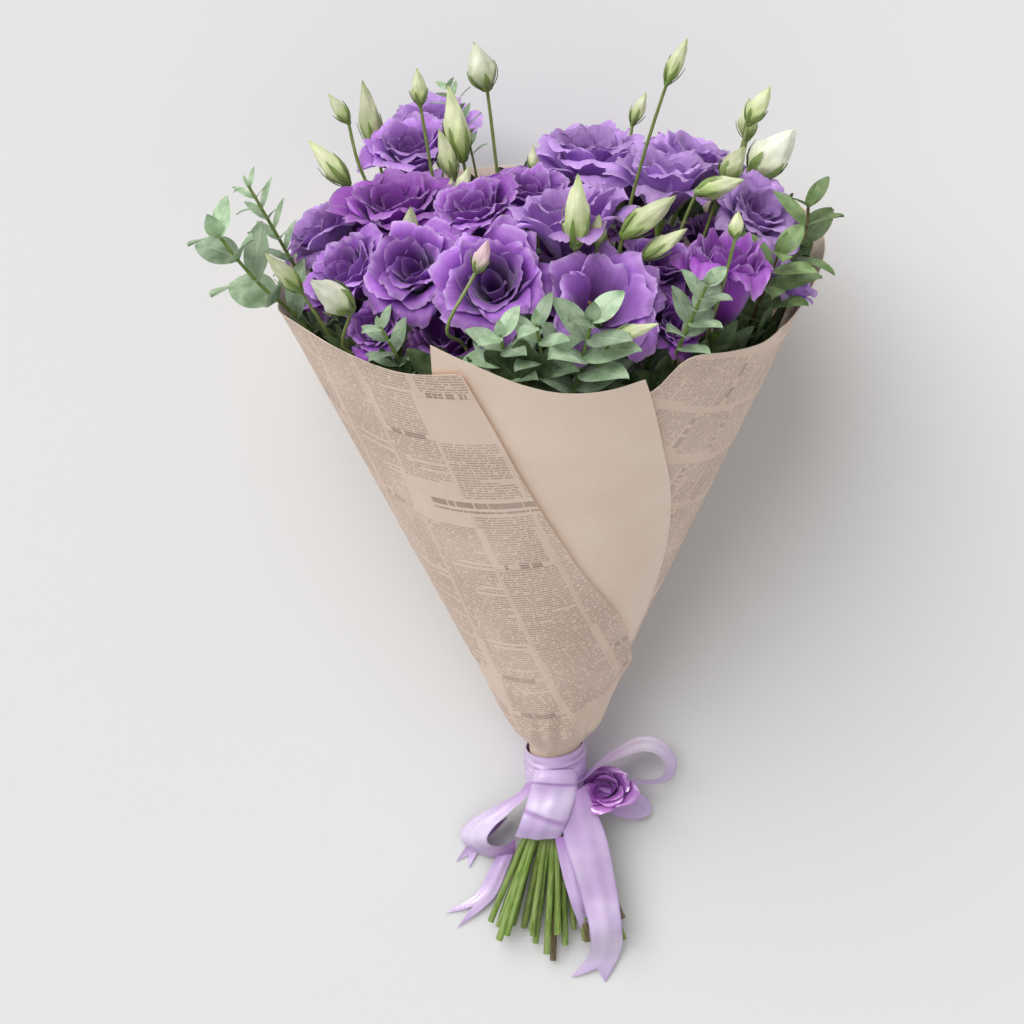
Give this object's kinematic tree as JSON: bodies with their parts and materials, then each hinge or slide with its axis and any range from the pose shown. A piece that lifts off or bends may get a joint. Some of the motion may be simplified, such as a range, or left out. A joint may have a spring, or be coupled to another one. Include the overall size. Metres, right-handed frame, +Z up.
{
  "type": "lisianthus bouquet in printed paper with a satin ribbon",
  "caption": "Hand-tied bunch of purple lisianthus with buds and leafy sprigs, wrapped in a paper cone and tied with lilac ribbon, lying down.",
  "frame": {"origin": "middle of the bounding box's footprint, on the surface that the bunch lies on", "axes": "+Z up from the surface, +Y from the cut stems towards the flowers along the bunch's length, +X to the right seen from above"},
  "size_m": [0.3582, 0.5872, 0.3168],
  "materials": {
    "petals": "soft satin",
    "stems": "waxy",
    "foliage": "matte, waxy",
    "printed_paper": "matte",
    "plain_paper": "matte",
    "ribbon": "satin",
    "rosette": "satin"
  },
  "bodies": {
    "root": {"paper_wrap": "printed_paper", "paper_panel": "plain_paper", "bloom_01": "petals", "bloom_02": "petals", "bloom_03": "petals", "bloom_04": "petals", "bloom_05": "petals", "bloom_06": "petals", "bloom_07": "petals", "bloom_08": "petals", "bloom_09": "petals", "bloom_10": "petals", "bloom_11": "petals", "bloom_12": "petals", "bloom_13": "petals", "bloom_14": "petals", "bloom_15": "petals", "bloom_16": "petals", "bloom_17": "petals", "bloom_18": "petals", "bloom_19": "petals", "bloom_20": "petals", "bloom_21": "petals", "bloom_22": "petals", "bloom_23": "petals", "bloom_24": "petals", "flower_stem_01": "stems", "flower_stem_02": "stems", "flower_stem_03": "stems", "flower_stem_04": "stems", "flower_stem_05": "stems", "flower_stem_06": "stems", "flower_stem_07": "stems", "flower_stem_08": "stems", "flower_stem_09": "stems", "flower_stem_10": "stems", "flower_stem_11": "stems", "flower_stem_12": "stems", "flower_stem_13": "stems", "leaf_sprig_1": "foliage", "leaf_sprig_2": "foliage", "leaf_sprig_3": "foliage", "leaf_sprig_4": "foliage", "leaf_sprig_5": "foliage", "leaf_sprig_6": "foliage", "leaf_sprig_7": "foliage", "leaf_sprig_8": "foliage", "leaf_sprig_9": "foliage", "ribbon_band": "ribbon", "ribbon_fold": "ribbon", "ribbon_loop_left": "ribbon", "ribbon_loop_right": "ribbon", "ribbon_end_left": "ribbon", "ribbon_tail_left": "ribbon", "ribbon_tail_right": "ribbon", "ribbon_tail_middle": "ribbon", "ribbon_leaf": "ribbon", "ribbon_rosette": "rosette"}
  },
  "joints": []
}
